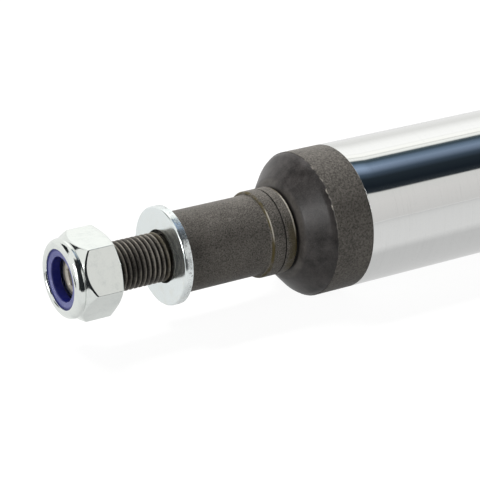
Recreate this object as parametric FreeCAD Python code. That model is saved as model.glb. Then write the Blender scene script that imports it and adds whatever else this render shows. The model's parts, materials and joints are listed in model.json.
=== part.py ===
import FreeCAD
import Part
import math
import os

# Gas-charged single-tube shock absorber insert, lying along X at its real size in millimetres.
# The origin is on the axis at the outer face of the top washer, where the vehicle's mount is clamped.
# +X runs from the stud and its lock nut through the body tube to the end of the piston rod.

# Fits and clearances
running_gap = 0.03        # rod, seal lips and slide bands against what they slide on
thread_gap = 0.06         # nut on stud, drawn as plain cylinders
press_gap = 0.01          # pieces pushed or welded into one another
face_gap = 0.05           # flat faces that lie on one another
contact_gap = 0.3         # faces of different pieces that meet at the end of a stroke

# Stud, stem and cap, one forging
thread_d = 14.0
stud_length = 29.5
stud_chamfer = 1.2
relief_depth = 1.1
relief_length = 2.0
socket_flats = 7.0
socket_depth = 6.0
stem_d = 23.0
stem_length = 26.65
stem_edge = 0.5
band_step = 1.0           # how far the band stands above the stem
band_length = 8.1
band_edge = 0.4
band_groove_at = 4.15     # from the band's outer end
band_groove_width = 0.5
band_groove_depth = 0.3
undercut_depth = 0.7      # below the band
undercut_width = 0.65
bell_length = 7.3
bell_face_height = 2.6    # the steep face beside the undercut
bell_face_lean = 0.6
bell_face_ease = 0.9      # how far from their corner face and cone are rounded
bell_shoulder = 1.55      # length of the rounded end of the cone
bell_shoulder_drop = 0.92
rim_step = 0.25
collar_length = 12.0
spigot_length = 8.0
spigot_edge = 0.8
dish_d = 26.0
dish_depth = 4.0

# Washer and lock nut on the stud
washer_d = 28.0
washer_hole_gap = 0.5     # around the thread
washer_thickness = 2.5
washer_edge = 0.35
stud_short = 0.45         # from the stud's end to the nylon ring, as delivered
nut_flats = 22.0
nut_height = 13.85
nut_corner_angle = 7.0    # degrees from +Y towards +Z
nut_seat_inset = 0.4      # seat, neck and collar lie this far inside the flats
nut_neck_inset = 0.55
nut_collar_inset = 0.15
nut_seat_chamfer = 1.0
nut_countersink = 0.9
nut_cone_length = 2.8     # from where the corners run out to the neck
nut_collar_land = 0.15
nut_collar_wall = 1.5
nut_crown_radius = 1.85
nut_lip_depth = 0.8       # from the nut's front to the nylon ring
insert_bite = 0.7         # how far the nylon reaches inside the thread's crests
insert_thickness = 3.0
insert_edge = 0.15

# Body tube
tube_d = 42.0
tube_wall = 3.0
tube_top_edge = 0.15
tube_mouth_edge = 1.0

# Gas chamber and floating piston
gas_length = 52.0
divider_length = 16.0
divider_gap = 0.05
divider_wall = 3.06       # from the ring groove's floor to the cup
divider_cup_depth = 9.0
divider_edge = 0.8
divider_ring_at = 4.0     # from the gas end
divider_land = 2.4        # from the band's groove to the oil end
divider_band_width = 4.0
divider_band_depth = 1.2
o_ring_section = 2.4
o_ring_room = 3.2         # width of the groove

# Working piston and its valve stacks
stroke = 130.0
end_clearance = 6.0       # rod tip to floating piston, fully pushed in
tenon_d = 10.0
tenon_tip = 2.0
tenon_chamfer = 0.8
piston_nut_flats = 16.0
piston_nut_height = 9.0
piston_nut_chamfer = 0.8
backing_d = 17.0
backing_thickness = 3.0
disc_edge = 0.5           # chamfer of the backing washers
piston_gap = 0.5          # between piston and bore, bridged by the band
piston_length = 16.0
piston_edge = 0.6
piston_band_width = 10.0
piston_band_depth = 1.5
pad_height = 1.2
pad_inner_d = 16.4
pad_margin = 2.0          # from the pads to the piston's edge
pad_half_angle = 33.0
pad_wall = 1.0
pad_wall_angle = 5.0
pocket_depth = 2.0
port_d = 4.6
port_inset = 3.7          # from the pads' outer edge to the ports' centres
port_count = 6
shim_thickness = 0.3
shim_overhang = 0.3       # largest shim past the pads
shim_drops = (0.0, 2.3, 4.3, 6.3)   # how much smaller each disc's radius is than the largest

# Piston rod and the pieces on it
rod_d = 14.0
rod_edge = 0.6
stop_offset = 14.0        # from the piston's seat to the rebound stop
stop_d = 24.0
stop_length = 5.0
stop_edge = 0.6
lock_ring_section = 1.6
lock_ring_depth = 0.8
ring_opening = 24.0       # degrees left open in a spring ring
buffer_d = 25.0
buffer_length = 8.0
buffer_waist = 1.5
bump_length = 45.0
bump_kept = 0.5           # share of its length when fully squeezed
bump_tip_d = 31.0
bump_base_d = 38.0
bump_waist = 3.0
bump_lobes = 3
bump_hole_gap = 0.2
plate_thickness = 2.5
plate_rim = 4.0
plate_rim_wall = 1.25
plate_edge = 1.25
clip_d = 23.0
clip_thickness = 1.5
clip_depth = 1.0
shank_length = 6.0        # plain rod between clip and lower stud
lower_thread_d = 12.0
lower_relief_depth = 1.1
lower_relief_length = 2.0
lower_stud_length = 22.0
lower_chamfer = 1.0
tip_step = 1.2            # how far the tip lies below the thread
tip_flats = 8.0
tip_length = 6.0

# Rod guide, seals and end of the tube
guide_web = 3.0           # between bush and seal
guide_edge = 0.6
guide_ring_at = 9.0       # from the oil end
guide_hole_gap = 0.6
bush_wall = 1.5
bush_length = 12.0
bush_at = 2.0             # from the oil end
seal_d = 26.0
seal_length = 7.0
seal_lip = 1.2
seal_heel_gap = 1.5       # between the seal's heel and the rod
seal_groove = 3.0
seal_washer_thickness = 2.0
spring_ring_thickness = 1.75
spring_ring_width = 2.6
spring_ring_depth = 1.1
mouth_room = 1.0          # between the retaining ring and the cover's plug
cover_step = 0.6          # how far the cover lies below the tube
cover_thickness = 3.0
cover_edge = 0.8
cover_web = 0.8
cover_plug_length = 4.0
cover_plug_wall = 2.4
wiper_wall = 4.0
wiper_length = 4.0
wiper_lip = 1.0

# Radii
thread_r = thread_d / 2
stem_r = stem_d / 2
band_r = stem_r + band_step
tube_r = tube_d / 2
bore_r = tube_r - tube_wall
collar_r = tube_r         # the cap's collar is ground flush with the tube
piston_r = bore_r - piston_gap
pad_outer_r = piston_r - pad_margin
rod_r = rod_d / 2
tenon_r = tenon_d / 2
wiper_r = rod_r + wiper_wall
nut_collar_r = nut_flats / 2 - nut_collar_inset
insert_seat_r = nut_collar_r - nut_collar_wall

# Places along the axis, from the washer's outer face
shoulder_x = washer_thickness + face_gap
stud_x = shoulder_x - stud_length
band_x = shoulder_x + stem_length
undercut_x = band_x + band_length
bell_x = undercut_x + undercut_width
collar_x = bell_x + bell_length
tube_x = collar_x + collar_length
spigot_end_x = tube_x + spigot_length
insert_x = stud_x - stud_short - insert_thickness
nut_front_x = insert_x - nut_lip_depth
nut_seat_x = nut_front_x + nut_height
divider_x = spigot_end_x + gas_length
divider_end_x = divider_x + divider_length
divider_travel = stroke * (rod_d / (2 * bore_r)) ** 2
rod_tip_x = divider_end_x - divider_travel + end_clearance + stroke
piston_nut_x = rod_tip_x + tenon_tip
rebound_backing_x = piston_nut_x + piston_nut_height + face_gap
shim_stack = len(shim_drops) * shim_thickness
rebound_shims_x = rebound_backing_x + backing_thickness + face_gap
piston_x = rebound_shims_x + shim_stack + pad_height + face_gap
piston_end_x = piston_x + piston_length
compression_shims_x = piston_end_x + pad_height + face_gap
compression_backing_x = compression_shims_x + shim_stack + face_gap
rod_seat_x = compression_backing_x + backing_thickness + face_gap
stop_x = rod_seat_x + stop_offset
buffer_x = stop_x + stop_length + face_gap
guide_x = buffer_x + buffer_length + contact_gap
guide_end_x = guide_x + bush_at + bush_length + guide_web + seal_length
seal_washer_x = guide_end_x + face_gap
retaining_x = seal_washer_x + seal_washer_thickness + face_gap
tube_end_x = retaining_x + spring_ring_thickness + mouth_room + cover_plug_length
stop_ring_x = guide_x - face_gap - spring_ring_thickness
cover_x = tube_end_x + face_gap
cover_end_x = cover_x + cover_thickness
plate_x = cover_end_x + stroke + bump_kept * bump_length + contact_gap
bump_x = plate_x - face_gap - bump_length
clip_x = plate_x + plate_thickness + face_gap
lower_stud_x = clip_x + clip_thickness + shank_length
lower_end_x = lower_stud_x + lower_relief_length + lower_stud_length
rod_end_x = lower_end_x + tip_length

centre = FreeCAD.Vector(0, 0, 0)
axis = FreeCAD.Vector(1, 0, 0)


def at(point):
    # A profile point (x, radius) in the XZ plane.
    return FreeCAD.Vector(point[0], 0, point[1])


def turned(start, *steps, angle=360.0):
    # Solid of revolution. A step is a point, or the middle and end points of an arc.
    edges = []
    here = start
    for step in steps + (start,):
        if isinstance(step[0], tuple):
            middle, there = step
            edges.append(Part.Arc(at(here), at(middle), at(there)).toShape())
        else:
            there = step
            edges.append(Part.LineSegment(at(here), at(there)).toShape())
        here = there
    solid = Part.Face(Part.Wire(edges)).revolve(centre, axis, angle)
    if solid.Volume < 0:
        solid.reverse()
    return solid


def ring(x, length, inner_r, outer_r, edge=0.0):
    # Plain ring with an equal chamfer on its two outer corners.
    end = x + length
    if edge == 0:
        return turned((x, inner_r), (x, outer_r), (end, outer_r), (end, inner_r))
    return turned(
        (x, inner_r), (x, outer_r - edge), (x + edge, outer_r),
        (end - edge, outer_r), (end, outer_r - edge), (end, inner_r))


def sector(x, length, inner_r, outer_r, half_angle, turn):
    # Part of a ring, centred on an angle about the axis.
    end = x + length
    piece = turned(
        (x, inner_r), (x, outer_r), (end, outer_r), (end, inner_r), angle=2 * half_angle)
    piece.rotate(centre, axis, turn - half_angle)
    return piece


def hexagon(across_flats, x, length, corner_angle=0.0):
    # Six-sided bar; the corner angle is measured from +Y towards +Z.
    radius = across_flats / math.sqrt(3)
    corners = []
    for k in range(7):
        turn = math.radians(corner_angle + 60 * k)
        corners.append(FreeCAD.Vector(x, radius * math.cos(turn), radius * math.sin(turn)))
    return Part.Face(Part.makePolygon(corners)).extrude(axis * length)


def spring_ring(x, length, inner_r, outer_r):
    # Flat open ring with its opening on the upper side.
    return ring(x, length, inner_r, outer_r).cut(
        sector(x, length, 0, outer_r + length, ring_opening / 2, 0))


def o_ring(x, outer_r):
    # Round rubber ring squeezed between its groove and the bore, centred on x.
    section_r = o_ring_section / 2
    return Part.makeTorus(outer_r - section_r, section_r, FreeCAD.Vector(x, 0, 0), axis)


def groove_steps(x, width, outer_r, floor_r):
    # Profile steps of a square groove in an outer wall.
    return ((x, outer_r), (x, floor_r), (x + width, floor_r), (x + width, outer_r))


def eased(before, corner, after, ease):
    # Profile steps of an arc in place of a corner, touching both lines this far from it.
    back = math.atan2(before[1] - corner[1], before[0] - corner[0])
    ahead = math.atan2(after[1] - corner[1], after[0] - corner[0])
    half = math.acos(math.cos(back - ahead)) / 2
    inwards = math.atan2(math.sin(back) + math.sin(ahead), math.cos(back) + math.cos(ahead))
    reach = ease * (1 - math.sin(half)) / math.cos(half)
    start = (corner[0] + ease * math.cos(back), corner[1] + ease * math.sin(back))
    middle = (corner[0] + reach * math.cos(inwards), corner[1] + reach * math.sin(inwards))
    end = (corner[0] + ease * math.cos(ahead), corner[1] + ease * math.sin(ahead))
    return (start, (middle, end))


def top_cap():
    root_r = band_r - undercut_depth
    face_end = (bell_x + bell_face_lean, root_r + bell_face_height)
    rim = (collar_x, collar_r - rim_step)
    shoulder = (collar_x - bell_shoulder, rim[1] - bell_shoulder_drop)
    slope = math.atan2(shoulder[1] - face_end[1], shoulder[0] - face_end[0])
    bulge = math.tan((slope - math.atan2(bell_shoulder_drop, bell_shoulder)) / 2) / 2
    shoulder_middle = (
        shoulder[0] + bell_shoulder / 2 - bulge * bell_shoulder_drop,
        shoulder[1] + bell_shoulder_drop / 2 + bulge * bell_shoulder)
    relief_r = thread_r - relief_depth
    relief_x = shoulder_x - relief_length
    groove_x = band_x + band_groove_at
    spigot_r = bore_r - press_gap
    dish_radius = ((dish_d / 2) ** 2 + dish_depth ** 2) / (2 * dish_depth)
    dish_turn = math.asin(dish_d / 2 / dish_radius) / 2
    dish_middle = (
        spigot_end_x - dish_depth + dish_radius * (1 - math.cos(dish_turn)),
        dish_radius * math.sin(dish_turn))
    cap = turned(
        (stud_x, 0), (stud_x, thread_r - stud_chamfer), (stud_x + stud_chamfer, thread_r),
        (relief_x - thread_r + relief_r, thread_r), (relief_x, relief_r), (shoulder_x, relief_r),
        (shoulder_x, stem_r - stem_edge), (shoulder_x + stem_edge, stem_r),
        (band_x, stem_r), (band_x, band_r - band_edge), (band_x + band_edge, band_r),
        (groove_x, band_r),
        (groove_x + band_groove_width / 2, band_r - band_groove_depth),
        (groove_x + band_groove_width, band_r),
        (undercut_x - band_edge, band_r), (undercut_x, band_r - band_edge),
        (undercut_x, root_r), (bell_x, root_r),
        *eased((bell_x, root_r), face_end, shoulder, bell_face_ease),
        shoulder, (shoulder_middle, rim),
        (collar_x, collar_r), (tube_x, collar_r), (tube_x, spigot_r),
        (spigot_end_x - spigot_edge, spigot_r), (spigot_end_x, spigot_r - spigot_edge),
        (spigot_end_x, dish_d / 2), (dish_middle, (spigot_end_x - dish_depth, 0)))
    return cap.cut(hexagon(socket_flats, stud_x, socket_depth, nut_corner_angle))


def top_washer():
    return ring(0, washer_thickness, thread_r + washer_hole_gap, washer_d / 2, washer_edge)


def lock_nut():
    corner_r = nut_flats / math.sqrt(3)
    bore = thread_r + thread_gap
    neck_r = nut_flats / 2 - nut_neck_inset
    crown_r = nut_collar_r - nut_crown_radius
    lip_round = nut_lip_depth - 2 * face_gap
    lip_r = crown_r - lip_round
    crown_x = nut_front_x + nut_crown_radius
    collar_end_x = crown_x + nut_collar_land
    neck_x = collar_end_x + nut_collar_r - neck_r
    corner_x = neck_x + nut_cone_length
    seat_end_x = insert_x + insert_thickness + face_gap
    lip_x = insert_x - face_gap
    crown_middle = (
        crown_x - nut_crown_radius * math.sqrt(0.5), crown_r + nut_crown_radius * math.sqrt(0.5))
    lip_middle = (
        nut_front_x + lip_round * (1 - math.sqrt(0.5)), crown_r - lip_round * math.sqrt(0.5))
    body = turned(
        (nut_seat_x, bore + nut_countersink), (nut_seat_x, nut_flats / 2 - nut_seat_inset),
        (nut_seat_x - nut_seat_chamfer, corner_r), (corner_x, corner_r), (neck_x, neck_r),
        (collar_end_x, nut_collar_r), (crown_x, nut_collar_r),
        (crown_middle, (nut_front_x, crown_r)), (lip_middle, (nut_front_x + lip_round, lip_r)),
        (lip_x, lip_r), (lip_x, insert_seat_r), (seat_end_x, insert_seat_r),
        (seat_end_x, bore + nut_countersink), (seat_end_x + nut_countersink, bore),
        (nut_seat_x - nut_countersink, bore))
    return body.common(hexagon(nut_flats, nut_front_x, nut_height, nut_corner_angle))


def nut_insert():
    end_x = insert_x + insert_thickness
    hole_r = thread_r - insert_bite
    outer_r = insert_seat_r - face_gap
    return turned(
        (insert_x, hole_r + insert_edge), (insert_x, outer_r), (end_x, outer_r), (end_x, hole_r),
        (insert_x + insert_edge, hole_r))


def body_tube():
    groove_r = bore_r + spring_ring_depth
    wide = spring_ring_thickness + 2 * face_gap
    stop_groove_x = stop_ring_x - face_gap
    retaining_groove_x = retaining_x - face_gap
    return turned(
        (tube_x, bore_r), (tube_x, tube_r - tube_top_edge), (tube_x + tube_top_edge, tube_r),
        (tube_end_x - tube_mouth_edge, tube_r), (tube_end_x, tube_r - tube_mouth_edge),
        (tube_end_x, bore_r),
        (retaining_groove_x + wide, bore_r), (retaining_groove_x + wide, groove_r),
        (retaining_groove_x, groove_r), (retaining_groove_x, bore_r),
        (stop_groove_x + wide, bore_r), (stop_groove_x + wide, groove_r),
        (stop_groove_x, groove_r), (stop_groove_x, bore_r))


def floating_piston():
    outer_r = bore_r - divider_gap
    ring_floor = bore_r - running_gap - o_ring_section - press_gap
    band_floor = bore_r - running_gap - divider_band_depth - press_gap
    ring_groove = groove_steps(divider_x + divider_ring_at, o_ring_room, outer_r, ring_floor)
    band_room = divider_band_width + 2 * face_gap
    band_groove = groove_steps(
        divider_end_x - divider_land - band_room, band_room, outer_r, band_floor)
    cup_r = ring_floor - divider_wall
    cup_end_x = divider_x + divider_cup_depth
    return turned(
        (divider_x, cup_r), (divider_x, outer_r - divider_edge),
        (divider_x + divider_edge, outer_r), *ring_groove, *band_groove,
        (divider_end_x - divider_edge, outer_r), (divider_end_x, outer_r - divider_edge),
        (divider_end_x, 0), (cup_end_x, 0), (cup_end_x, cup_r - divider_edge),
        (cup_end_x - divider_edge, cup_r))


def floating_piston_o_ring():
    return o_ring(divider_x + divider_ring_at + o_ring_room / 2, bore_r - running_gap)


def floating_piston_band():
    outer_r = bore_r - running_gap
    return ring(
        divider_end_x - divider_land - face_gap - divider_band_width, divider_band_width,
        outer_r - divider_band_depth, outer_r)


def piston_nut():
    corner_r = piston_nut_flats / math.sqrt(3)
    body = ring(piston_nut_x, piston_nut_height, tenon_r + press_gap, corner_r, piston_nut_chamfer)
    return body.common(hexagon(piston_nut_flats, piston_nut_x, piston_nut_height))


def backing_washer(x):
    return ring(x, backing_thickness, tenon_r + press_gap, backing_d / 2, disc_edge)


def shims(x, step):
    # Spring discs that shrink away from the piston; step is +1 or -1 along the axis.
    discs = []
    for k, drop in enumerate(shim_drops):
        start_x = x + step * k * shim_thickness
        if step < 0:
            start_x -= shim_thickness
        outer_r = pad_outer_r + shim_overhang - drop
        discs.append(ring(start_x, shim_thickness, tenon_r + press_gap, outer_r))
    return Part.makeCompound(discs)


def valve_face(body, face_x, step, first_turn):
    # Raised hub and three walled pads on one side of the piston; the ports under the pads are
    # covered by the shims, and those between the pads stay open.
    low_x = min(face_x, face_x + step * pad_height)
    pad_inner_r = pad_inner_d / 2
    body = body.fuse(ring(low_x, pad_height, tenon_r + press_gap, pad_inner_r))
    pocket_x = face_x - pocket_depth + pad_height if step > 0 else face_x - pad_height
    for k in range(port_count // 2):
        turn = first_turn + 720.0 / port_count * k
        pad = sector(low_x, pad_height, pad_inner_r, pad_outer_r, pad_half_angle, turn)
        body = body.fuse(pad)
        pocket = sector(
            pocket_x, pocket_depth, pad_inner_r + pad_wall, pad_outer_r - pad_wall,
            pad_half_angle - pad_wall_angle, turn)
        body = body.cut(pocket)
    return body


def piston():
    floor_r = bore_r - running_gap - piston_band_depth - running_gap
    room = piston_band_width + 2 * face_gap
    groove = groove_steps(piston_x + (piston_length - room) / 2, room, piston_r, floor_r)
    body = turned(
        (piston_x, tenon_r + press_gap), (piston_x, piston_r - piston_edge),
        (piston_x + piston_edge, piston_r), *groove,
        (piston_end_x - piston_edge, piston_r), (piston_end_x, piston_r - piston_edge),
        (piston_end_x, tenon_r + press_gap))
    body = valve_face(body, piston_end_x, 1, 0.0)
    body = valve_face(body, piston_x, -1, 360.0 / port_count)
    for k in range(port_count):
        port = Part.makeCylinder(
            port_d / 2, piston_length + 2 * pad_height,
            FreeCAD.Vector(piston_x - pad_height, 0, pad_outer_r - port_inset), axis)
        port.rotate(centre, axis, 360.0 / port_count * k)
        body = body.cut(port)
    return body.removeSplitter()


def piston_band():
    outer_r = bore_r - running_gap
    x = piston_x + (piston_length - piston_band_width) / 2
    return ring(x, piston_band_width, outer_r - piston_band_depth, outer_r)


def piston_rod():
    lock_x = stop_x + (stop_length - lock_ring_section) / 2 - face_gap
    lock_groove = groove_steps(
        lock_x, lock_ring_section + 2 * face_gap, rod_r, rod_r - lock_ring_depth)
    clip_groove = groove_steps(
        clip_x - face_gap, clip_thickness + 2 * face_gap, rod_r, rod_r - clip_depth)
    stud_r = lower_thread_d / 2
    relief_r = stud_r - lower_relief_depth
    tip_r = stud_r - tip_step
    relief_end_x = lower_stud_x + lower_relief_length
    rod = turned(
        (rod_tip_x, 0), (rod_tip_x, tenon_r - tenon_chamfer), (rod_tip_x + tenon_chamfer, tenon_r),
        (rod_seat_x, tenon_r), (rod_seat_x, rod_r - rod_edge), (rod_seat_x + rod_edge, rod_r),
        *lock_groove, *clip_groove,
        (lower_stud_x - rod_edge, rod_r), (lower_stud_x, rod_r - rod_edge),
        (lower_stud_x, relief_r), (relief_end_x, relief_r), (relief_end_x, stud_r),
        (lower_end_x - lower_chamfer, stud_r), (lower_end_x, stud_r - lower_chamfer),
        (lower_end_x, tip_r), (rod_end_x, tip_r), (rod_end_x, 0))
    for side in (-1, 1):
        flat = Part.makeBox(tip_length, 2 * tip_r, 2 * tip_r)
        low_z = tip_flats / 2 if side > 0 else -tip_flats / 2 - 2 * tip_r
        flat.translate(FreeCAD.Vector(lower_end_x, -tip_r, low_z))
        rod = rod.cut(flat)
    return rod


def rebound_stop_collar():
    outer_r = stop_d / 2
    inner_r = rod_r + press_gap
    pocket_r = rod_r - lock_ring_depth + lock_ring_section + 2 * press_gap
    pocket_x = stop_x + (stop_length - lock_ring_section) / 2 - face_gap
    pocket_end_x = pocket_x + lock_ring_section + 2 * face_gap
    end_x = stop_x + stop_length
    return turned(
        (stop_x, inner_r), (stop_x, outer_r - stop_edge), (stop_x + stop_edge, outer_r),
        (end_x - stop_edge, outer_r), (end_x, outer_r - stop_edge), (end_x, inner_r),
        (pocket_end_x, inner_r), (pocket_end_x, pocket_r), (pocket_x, pocket_r), (pocket_x, inner_r))


def stop_lock_ring():
    inner_r = rod_r - lock_ring_depth + press_gap
    x = stop_x + (stop_length - lock_ring_section) / 2
    return spring_ring(x, lock_ring_section, inner_r, inner_r + lock_ring_section)


def rebound_buffer():
    outer_r = buffer_d / 2
    inner_r = rod_r + press_gap
    end_x = buffer_x + buffer_length
    middle = ((buffer_x + end_x) / 2, outer_r - buffer_waist)
    return turned((buffer_x, inner_r), (buffer_x, outer_r), (middle, (end_x, outer_r)), (end_x, inner_r))


def rod_guide():
    outer_r = bore_r - press_gap
    ring_floor = bore_r - press_gap - o_ring_section - press_gap
    ring_groove = groove_steps(guide_x + guide_ring_at, o_ring_room, outer_r, ring_floor)
    hole_r = rod_r + guide_hole_gap
    bush_r = rod_r + running_gap + bush_wall + press_gap
    bush_x = guide_x + bush_at - face_gap
    bush_end_x = guide_x + bush_at + bush_length + face_gap
    seal_r = seal_d / 2 + press_gap
    seal_x = guide_end_x - seal_length - face_gap
    return turned(
        (guide_x, hole_r), (guide_x, outer_r - guide_edge), (guide_x + guide_edge, outer_r),
        *ring_groove,
        (guide_end_x - guide_edge, outer_r), (guide_end_x, outer_r - guide_edge),
        (guide_end_x, seal_r), (seal_x, seal_r), (seal_x, hole_r),
        (bush_end_x, hole_r), (bush_end_x, bush_r), (bush_x, bush_r), (bush_x, hole_r))


def guide_bush():
    inner_r = rod_r + running_gap
    return ring(guide_x + bush_at, bush_length, inner_r, inner_r + bush_wall)


def guide_o_ring():
    return o_ring(guide_x + guide_ring_at + o_ring_room / 2, bore_r - press_gap)


def rod_seal():
    # Heel towards the tube's mouth, and two lips that bear on the rod at its ends.
    lip_r = rod_r + running_gap
    heel_r = rod_r + seal_heel_gap
    x = guide_end_x - seal_length
    return turned(
        (x, heel_r + seal_groove / 2), (x, seal_d / 2), (guide_end_x, seal_d / 2),
        (guide_end_x, heel_r), (guide_end_x - seal_lip, lip_r),
        (guide_end_x - 2 * seal_lip, heel_r), (x + 2 * seal_lip, heel_r), (x + seal_lip, lip_r),
        (x, lip_r), (x, heel_r - seal_lip / 2), (x + seal_groove, heel_r + seal_lip / 2))


def seal_backing_washer():
    return ring(
        seal_washer_x, seal_washer_thickness, rod_r + guide_hole_gap, bore_r - press_gap, disc_edge)


def tube_spring_ring(x):
    outer_r = bore_r + spring_ring_depth - press_gap
    return spring_ring(x, spring_ring_thickness, outer_r - spring_ring_width, outer_r)


def end_cover():
    plug_r = bore_r - press_gap
    plug_x = cover_x - cover_plug_length
    hole_r = rod_r + guide_hole_gap
    pocket_r = wiper_r + press_gap
    pocket_x = cover_end_x - wiper_length - face_gap
    web_x = pocket_x - cover_web
    outer_r = tube_r - cover_step
    return turned(
        (plug_x, plug_r - cover_plug_wall), (plug_x, plug_r), (cover_x, plug_r), (cover_x, outer_r),
        (cover_end_x - cover_edge, outer_r), (cover_end_x, outer_r - cover_edge),
        (cover_end_x, pocket_r), (pocket_x, pocket_r), (pocket_x, hole_r),
        (web_x, hole_r), (web_x, plug_r - cover_plug_wall))


def dust_wiper():
    lip_r = rod_r + running_gap
    heel_r = rod_r + guide_hole_gap
    x = cover_end_x - wiper_length
    return turned(
        (x, heel_r), (x, wiper_r), (cover_end_x - wiper_lip, wiper_r),
        (cover_end_x - wiper_lip, heel_r + 2 * wiper_lip), (cover_end_x, lip_r + wiper_lip / 2),
        (cover_end_x, lip_r), (cover_end_x - wiper_lip, lip_r), (cover_end_x - 2 * wiper_lip, heel_r))


def bump_stop():
    # Foam spring whose lobes swell from the tip to the base.
    hole_r = rod_r + bump_hole_gap
    lobe = bump_length / bump_lobes
    steps = []
    for k in range(bump_lobes):
        lobe_r = (bump_tip_d + (bump_base_d - bump_tip_d) * (k + 0.5) / bump_lobes) / 2
        middle = (bump_x + (k + 0.5) * lobe, lobe_r)
        next_r = (bump_tip_d + (bump_base_d - bump_tip_d) * (k + 1) / bump_lobes) / 2 - bump_waist
        steps.append((middle, (bump_x + (k + 1) * lobe, next_r)))
    return turned(
        (bump_x, hole_r), (bump_x, bump_tip_d / 2 - bump_waist), *steps, (bump_x + bump_length, hole_r))


def bump_plate():
    rim_r = bump_base_d / 2 + face_gap
    outer_r = rim_r + plate_rim_wall
    inner_r = rod_r + press_gap
    end_x = plate_x + plate_thickness
    rim_x = plate_x - plate_rim
    return turned(
        (plate_x, inner_r), (plate_x, rim_r), (rim_x, rim_r), (rim_x, outer_r),
        (end_x - plate_edge, outer_r), (end_x, outer_r - plate_edge), (end_x, inner_r))


def plate_clip():
    return spring_ring(clip_x, clip_thickness, rod_r - clip_depth + press_gap, clip_d / 2)


pieces = {
    "top_cap": top_cap(),
    "body_tube": body_tube(),
    "rod_guide": rod_guide(),
    "guide_bush": guide_bush(),
    "guide_o_ring": guide_o_ring(),
    "rod_seal": rod_seal(),
    "seal_backing_washer": seal_backing_washer(),
    "guide_stop_ring": tube_spring_ring(stop_ring_x),
    "retaining_ring": tube_spring_ring(retaining_x),
    "end_cover": end_cover(),
    "dust_wiper": dust_wiper(),
    "top_washer": top_washer(),
    "lock_nut": lock_nut(),
    "nut_insert": nut_insert(),
    "floating_piston": floating_piston(),
    "floating_piston_o_ring": floating_piston_o_ring(),
    "floating_piston_band": floating_piston_band(),
    "piston": piston(),
    "piston_band": piston_band(),
    "piston_nut": piston_nut(),
    "rebound_backing_washer": backing_washer(rebound_backing_x),
    "rebound_shims": shims(rebound_shims_x + shim_stack, -1),
    "compression_shims": shims(compression_shims_x, 1),
    "compression_backing_washer": backing_washer(compression_backing_x),
    "piston_rod": piston_rod(),
    "rebound_stop_collar": rebound_stop_collar(),
    "stop_lock_ring": stop_lock_ring(),
    "rebound_buffer": rebound_buffer(),
    "bump_stop": bump_stop(),
    "bump_plate": bump_plate(),
    "plate_clip": plate_clip(),
}

os.makedirs("parts", exist_ok=True)
for name, shape in pieces.items():
    shape.exportStep("parts/" + name + ".step")
print("tube from %.2f to %.2f, rod end at %.2f" % (tube_x, tube_end_x, rod_end_x))
print("floating piston travels %.3f for a stroke of %.1f" % (divider_travel, stroke))
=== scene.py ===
import bpy
import json
import math
import numpy as np
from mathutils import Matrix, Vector


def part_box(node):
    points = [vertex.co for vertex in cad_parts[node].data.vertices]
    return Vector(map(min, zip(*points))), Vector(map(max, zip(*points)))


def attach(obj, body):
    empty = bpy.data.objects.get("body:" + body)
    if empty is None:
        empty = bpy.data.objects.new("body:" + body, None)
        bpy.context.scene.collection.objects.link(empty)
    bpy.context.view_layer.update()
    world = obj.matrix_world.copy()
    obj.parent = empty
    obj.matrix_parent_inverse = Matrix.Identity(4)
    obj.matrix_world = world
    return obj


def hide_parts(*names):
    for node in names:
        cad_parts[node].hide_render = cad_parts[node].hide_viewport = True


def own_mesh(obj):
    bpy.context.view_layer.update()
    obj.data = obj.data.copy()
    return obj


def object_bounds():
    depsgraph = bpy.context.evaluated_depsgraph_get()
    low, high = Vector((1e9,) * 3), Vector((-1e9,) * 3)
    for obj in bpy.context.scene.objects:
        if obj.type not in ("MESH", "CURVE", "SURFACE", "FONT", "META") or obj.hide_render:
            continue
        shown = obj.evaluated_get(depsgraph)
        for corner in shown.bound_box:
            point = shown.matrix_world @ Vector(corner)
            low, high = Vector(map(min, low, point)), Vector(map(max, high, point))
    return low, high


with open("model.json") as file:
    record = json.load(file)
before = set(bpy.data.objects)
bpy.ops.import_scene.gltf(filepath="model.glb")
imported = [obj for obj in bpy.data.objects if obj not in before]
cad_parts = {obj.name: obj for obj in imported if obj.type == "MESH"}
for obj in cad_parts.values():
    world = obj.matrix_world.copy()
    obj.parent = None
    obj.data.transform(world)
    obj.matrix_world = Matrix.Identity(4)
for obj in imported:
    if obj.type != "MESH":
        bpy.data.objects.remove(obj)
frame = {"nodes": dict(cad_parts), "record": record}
cadLow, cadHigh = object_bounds()  # the solids' own box, before anything is dressed

mm = 0.001  # sizes below are in millimetres, Blender's own are in metres
turn = 2 * math.pi


def reach(node):  # where a node begins and ends along the axis, and its largest radius, in millimetres
    low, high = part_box(node)
    return low.x / mm, high.x / mm, high.y / mm


def roundAngles(count, start=0.0):  # even angles round the axis, from +Y towards +Z
    return math.radians(start) + np.arange(count) * turn / count


def cornerAngles(count, start):  # the same, with more of them close to six corners
    close = np.radians([-0.9, -0.6, -0.35, -0.15, 0.15, 0.35, 0.6, 0.9])
    extra = (roundAngles(6, start).reshape(-1, 1) + close).ravel()
    return np.sort(np.concatenate([roundAngles(count, start), extra]))


# Sum of sines of the given orders with unlike phases, about -1 to 1: an uneven but repeatable edge.
def ripple(angles, orders):
    waves = np.array(orders, float).reshape(-1, 1)
    return np.sin(waves * angles + 2.4 * waves ** 2).sum(axis=0) / math.sqrt(1.5 * len(orders))


def ramp(value, width):  # 0 below nought, 1 past the width, straight between
    return np.clip(value / width, 0, 1)


# One round the middle and nought beyond the half width, with soft ends: exp(-(distance / half) ^ 4).
def plateau(distance, half):
    return np.exp(-(distance / half) ** 4)


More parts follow.
